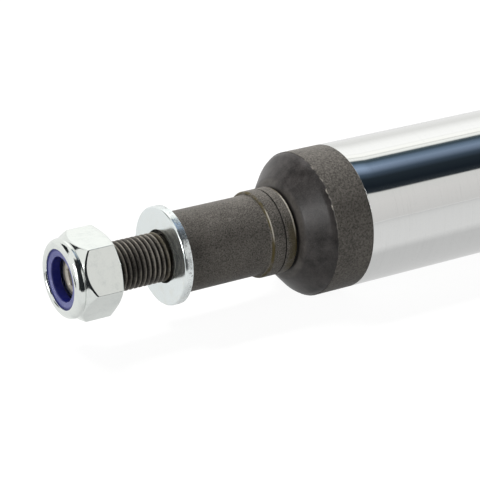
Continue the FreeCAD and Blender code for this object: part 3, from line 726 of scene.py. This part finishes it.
def makeRod():
    c = chromeRod
    angles = roundAngles(c["columns"])
    begin, end = reach("piston_rod")[:2]
    grooveStart, grooveEnd = c["clipGroove"]
    flats = c["tipFlats"] / 2 / np.maximum(np.abs(np.sin(angles)), 1e-6)
    tip = np.minimum(c["tipRadius"], flats)
    corners = [
        (begin, 2.0, 0, 1),
        (begin, c["tenonRadius"] - c["tenonEdge"], 0.1, 1),
        (begin + c["tenonEdge"], c["tenonRadius"], 0.1, 6),
        (c["tenonEnd"], c["tenonRadius"], 0.2, 1),
        (c["tenonEnd"], c["radius"] - c["edge"], 0.1, 1),
        (c["tenonEnd"] + c["edge"], c["radius"], 0.15, 40),
        (grooveStart, c["radius"], 0.08, 1),
        (grooveStart, c["clipRadius"], 0.08, 1),
        (grooveEnd, c["clipRadius"], 0.08, 1),
        (grooveEnd, c["radius"], 0.08, 3),
        (c["shoulder"] - c["edge"], c["radius"], 0.15, 2),
        (c["shoulder"], c["radius"] - c["edge"], 0.1, 1),
        (c["shoulder"], c["reliefRadius"], 0.25, 2),
        (c["reliefEnd"] - 0.8, c["reliefRadius"], 0.25, 10),
        (c["reliefEnd"] + 0.3, c["threadRadius"], 0.1, c["threadRows"]),
        (c["tipStart"] - c["threadEdge"], c["threadRadius"], 0.1, 12),
        (c["tipStart"], c["threadRadius"] - c["threadEdge"], 0.06, 1),
        (c["tipStart"], tip, 0.04, 6),
        (end - c["tipEdge"], tip, 0.1, 2),
        (end, tip - c["tipEdge"], 0.1, 2),
        (end, 1.5, 0, 1),
    ]
    x, r = easedRuns(corners, angles)
    stud = (x > c["reliefEnd"] - 0.85) & (x < c["tipStart"]) & (r > c["reliefRadius"])
    screw = screwReach(x, angles, c["threadRadius"], c["threadPitch"], c["threadDepth"])
    r = np.where(stud, np.minimum(r, np.maximum(screw, c["reliefRadius"])), r)
    rod = skin("chrome_rod", x, r, angles, (begin, end))
    fit(rod, "rod", "chrome_steel", "piston_rod")


makeRod()

foamStop = {
    "columns": 128, "rows": 120,
    "holeRadius": 7.2, "tip": 31.0, "base": 38.0, "waist": 3.0, "lobes": 3, "edge": 1.2,
    "squashedTo": 0.5,  # share of its length that is left with the rod right in
}


# Outer wall of the foam spring: half the width, which grows evenly from tip to base, less a waist that
# is full where the sine of the lobes is nought, and gone where it is one.
def makeFoam():
    c = foamStop
    angles = roundAngles(c["columns"])
    begin, end, wide = reach("bump_stop")
    share = np.linspace(0, 1, c["rows"])
    swell = np.abs(np.sin(math.pi * c["lobes"] * share)) ** 0.8
    outer = (c["tip"] + (c["base"] - c["tip"]) * share) / 2 - c["waist"] * (1 - swell)
    outer = outer * np.minimum(1, wide / outer.max())
    inner = np.linspace(end - c["edge"], begin + c["edge"], 24)
    x = np.concatenate([begin + (end - begin) * share, [end, end], inner, [begin, begin]])
    ends = [outer[-1] - 2, c["holeRadius"] + c["edge"]]
    r = np.concatenate([outer, ends, 0 * inner + c["holeRadius"], [c["holeRadius"] + c["edge"], outer[0] - 2]])
    x = x.reshape(-1, 1) + 0 * angles
    r = r.reshape(-1, 1) + 0 * angles
    stop = skin("foam_stop", x, r, angles, crease=50)
    fit(stop, "rod", "bump_foam", "bump_stop")
    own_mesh(stop)


makeFoam()

studio = {
    "floorHalf": 12.0, "floorTone": (0.68, 0.68, 0.67, 1),
    "floorSeen": (0.86, 1.1), "floorMirrored": (0.75, 0.91),  # share and level of plain white: camera, mirrors
    "tentRadius": 1.5, "tentHalf": 4.0, "tentPeak": 1.5, "tentSteps": 90,
    "tentPale": (0.69, 0.69, 0.68, 1), "paleUntil": (0.1, 0.4),  # plain to the left of the tube
    "stripFrom": (0.43, 0.45), "stripTo": (0.61, 0.64),  # half turns from the back
    "stripDark": (0.012, 0.017, 0.024, 1), "stripDimmed": 0.3, "stripEnd": (0.93, 1.12),  # dimmer at its far end
    "worldDiffuse": 0.09, "worldSeen": 1.0,
}

# Cards round the nut: metres away, the turn from the front to the left and the rise, in degrees, and the shade.
cards = {
    "flag_right": (1.2, (-16, 30), (-17, 58), "dark"),
    "flag_top": (1.2, (-32, 14), (34, 68), "dark"),
    "flag_high": (1.2, (14, 58), (36, 68), "dark"),
    "flag_left": (1.2, (30, 54), (-15, 36), "dark"),
    "flag_low": (1.2, (97, 128), (-19, -12), "dark"),
    "flag_back": (1.2, (112, 156), (31, 62), "dark"),
    "flag_near": (0.15, (-36, -12), (-14, 5), "dark"),
    "card_left": (1.25, (59, 97), (3, 46), "light"),
}
cardLook = {
    "dark": (0.012, 0.014, 0.016, 1), "light": (0.80, 0.80, 0.785, 1), "strength": 1.25,
    "columns": 25, "rows": 41,
    "middle": -0.03,  # metres along the axis to the nut
    "foot": 0.019,  # metres below the axis, just above the floor
}

# What mirrors see overhead, by angle from the back (0) over the top (90) to the front (180): pale
# behind, a soft light, a dark ceiling with a dim bluish strip, and pale again in front.
overhead = [
    (0, (1.00, 1.00, 0.99)), (26, (1.00, 1.00, 0.98)), (44, (1.34, 1.34, 1.32)), (58, (1.42, 1.42, 1.40)),
    (59, (1.25, 1.25, 1.22)), (61, (1.42, 1.42, 1.38)), (67, (1.42, 1.42, 1.36)), (68.5, (0.80, 0.81, 0.78)),
    (70, (1.30, 1.31, 1.27)), (74, (1.15, 1.17, 1.14)), (76, (0.10, 0.13, 0.15)), (80, (0.07, 0.105, 0.13)),
    (86, (0.24, 0.34, 0.48)), (92, (0.38, 0.50, 0.69)), (97, (0.29, 0.38, 0.53)), (104, (0.08, 0.115, 0.165)),
    (112, (0.022, 0.032, 0.042)), (126, (0.012, 0.018, 0.026)), (134.5, (0.035, 0.044, 0.052)),
    (136, (0.88, 0.88, 0.86)), (150, (0.90, 0.885, 0.87)), (180, (0.82, 0.81, 0.80)),
]


def plainMesh(name, points, faces):
    mesh = bpy.data.meshes.new(name)
    mesh.from_pydata(points, [], faces)
    item = bpy.data.objects.new(name, mesh)
    bpy.context.scene.collection.objects.link(item)
    return item


def mirrorsOnly(item):  # seen by shiny surfaces alone: it lights and shades nothing
    item.visible_camera = False
    item.visible_diffuse = False
    item.visible_transmission = False
    item.visible_volume_scatter = False
    item.visible_shadow = False


# One share for the camera's rays, one for mirrors and glass, and nought for soft light.
def seenShare(kit, straight, mirrored):
    camera, glossy, clear = kit.node(
        "LightPath", None, None, ("Is Camera Ray", "Is Glossy Ray", "Is Transmission Ray"))
    return camera * straight + glossy * mirrored + (1 - glossy) * clear * mirrored


def makeFloor():
    s = studio
    level, half = cadLow.z, s["floorHalf"]
    points = [(-half, -half, level), (half, -half, level), (half, half, level), (-half, half, level)]
    floor = plainMesh("floor", points, [(0, 1, 2, 3)])
    material, kit = startFinish("floor_pale")
    matt = kit.node("BsdfDiffuse", None, {"Color": s["floorTone"]})
    (seenPart, seenLevel), (mirrorPart, mirrorLevel) = s["floorSeen"], s["floorMirrored"]
    brightest = 2.0  # a colour stops at one, so the level is split between colour and strength
    glare = mixed(kit, seenShare(kit, seenLevel, mirrorLevel) / brightest, (0, 0, 0, 1), (1, 1, 1, 1))
    white = kit.node("Emission", None, {"Color": glare, "Strength": brightest})
    mix = kit.node("MixShader", None, {0: seenShare(kit, seenPart, mirrorPart), 1: matt, 2: white})
    kit.node("OutputMaterial", None, {"Surface": mix}, ())
    floor.data.materials.append(material)


# Half a pipe over the object: the point (x, R cos t, R sin t) for t from back to front, at two places along it.
def makeTent():
    s = studio
    count = s["tentSteps"]
    sweep = np.linspace(0, math.pi, count)
    arch = np.stack([0 * sweep, np.cos(sweep), np.sin(sweep)], axis=-1) * s["tentRadius"] + [0, 0, cadLow.z]
    points = np.vstack([arch - [s["tentHalf"], 0, 0], arch + [s["tentHalf"], 0, 0]])
    near = np.arange(count - 1)
    faces = np.stack([near, near + 1, near + 1 + count, near + count], axis=-1)
    tent = plainMesh("light_tent", points.tolist(), faces.tolist())
    mirrorsOnly(tent)
    material, kit = startFinish("tent_light")
    along, across, up = kit.node("SeparateXYZ", None, {0: place(kit)}, (0, 1, 2))
    part = kit.node("Math", {"operation": "ARCTAN2"}, {0: up, 1: across}) / math.pi
    stops = [(degrees / 180, tuple(v / s["tentPeak"] for v in colour)) for degrees, colour in overhead]
    glow = kit.node("ValToRGB", {"stops": stops}, {0: part})
    strip = rise(kit, part, *s["stripFrom"]) * (1 - rise(kit, part, *s["stripTo"]))
    dimmed = s["stripDimmed"] * strip * rise(kit, along, *s["stripEnd"])
    glow = mixed(kit, dimmed, glow, s["stripDark"])
    glow = mixed(kit, rise(kit, along, *s["paleUntil"]), s["tentPale"], glow)
    shine = kit.node("Emission", None, {"Color": glow, "Strength": s["tentPeak"]})
    kit.node("OutputMaterial", None, {"Surface": shine}, ())
    tent.data.materials.append(material)


# A card is the direction with its turn and rise, times a distance that stops just above the floor.
def makeCards():
    c = cardLook
    shades = {}
    for shade in ("dark", "light"):
        shades[shade], kit = startFinish("card_" + shade)
        plain = kit.node("Emission", None, {"Color": c[shade], "Strength": c["strength"]})
        kit.node("OutputMaterial", None, {"Surface": plain}, ())
    for name, (away, turns, rises, shade) in cards.items():
        spin = np.radians(np.linspace(*turns, c["columns"]))
        lift = np.radians(np.linspace(*rises, c["rows"])).reshape(-1, 1)
        far = np.minimum(away, c["foot"] / np.maximum(np.sin(-lift), 1e-6))
        flat = far * np.cos(lift)
        left, front, up = flat * np.sin(spin), flat * np.cos(spin), far * np.sin(lift) + 0 * spin
        points = np.stack([c["middle"] - left, -front, up], axis=-1)
        here = np.arange(points.size // 3).reshape(points.shape[:2])
        faces = np.stack([here[:-1, :-1], here[:-1, 1:], here[1:, 1:], here[1:, :-1]], axis=-1).reshape(-1, 4)
        card = plainMesh(name, points.reshape(-1, 3).tolist(), faces.tolist())
        mirrorsOnly(card)
        card.data.materials.append(shades[shade])


def makeWorld():
    world = bpy.data.worlds.new("studio_white")
    world.use_nodes = True
    world.node_tree.nodes.clear()
    kit = Wire(world.node_tree)
    soft = kit.node("Background", None, {"Color": (1, 1, 1, 1), "Strength": studio["worldDiffuse"]})
    seen = kit.node("Background", None, {"Color": (1, 1, 1, 1), "Strength": studio["worldSeen"]})
    mix = kit.node("MixShader", None, {0: seenShare(kit, 1, 1), 1: soft, 2: seen})
    kit.node("OutputWorld", None, {"Surface": mix}, ())
    bpy.context.scene.world = world


makeFloor()
makeTent()
makeCards()
makeWorld()
print("stage: floor, light tent, cards and world")

lamps = {
    "lamp_back": {"place": (0.05, 0.60, 1.15), "aim": (0.05, 0, 0), "size": (1.2, 0.3),
                  "watts": 28.0, "glossy": False},
    "lamp_left": {"place": (-1.06, -0.34, 0.34), "aim": (0.04, 0, 0), "size": (0.30, 0.50),
                  "watts": 6.6, "glossy": True},
}
for name, lamp in lamps.items():
    light = bpy.data.lights.new(name, "AREA")
    light.shape = "RECTANGLE"
    light.size, light.size_y = lamp["size"]
    light.energy = lamp["watts"]
    holder = bpy.data.objects.new(name, light)
    bpy.context.scene.collection.objects.link(holder)
    holder.location = lamp["place"]
    holder.rotation_euler = (Vector(lamp["aim"]) - Vector(lamp["place"])).to_track_quat("-Z", "Y").to_euler()
    holder.visible_camera = False
    holder.visible_glossy = lamp["glossy"]

photoCamera = {
    "place": (-252.0, -440.6, 210.1), "look": (0.49473, 0.78390, -0.37520),
    "lens": 149.72, "sensor": 36.0,
}
lens = bpy.data.cameras.new("photo_camera")
lens.lens = photoCamera["lens"]
lens.sensor_width = photoCamera["sensor"]
lens.clip_start, lens.clip_end = 0.05, 60
viewer = bpy.data.objects.new("photo_camera", lens)
bpy.context.scene.collection.objects.link(viewer)
viewer.location = Vector(photoCamera["place"]) * mm
viewer.rotation_euler = Vector(photoCamera["look"]).to_track_quat("-Z", "Y").to_euler()
bpy.context.scene.camera = viewer
bpy.context.scene.view_settings.view_transform = "Standard"
print("lamps and camera set")
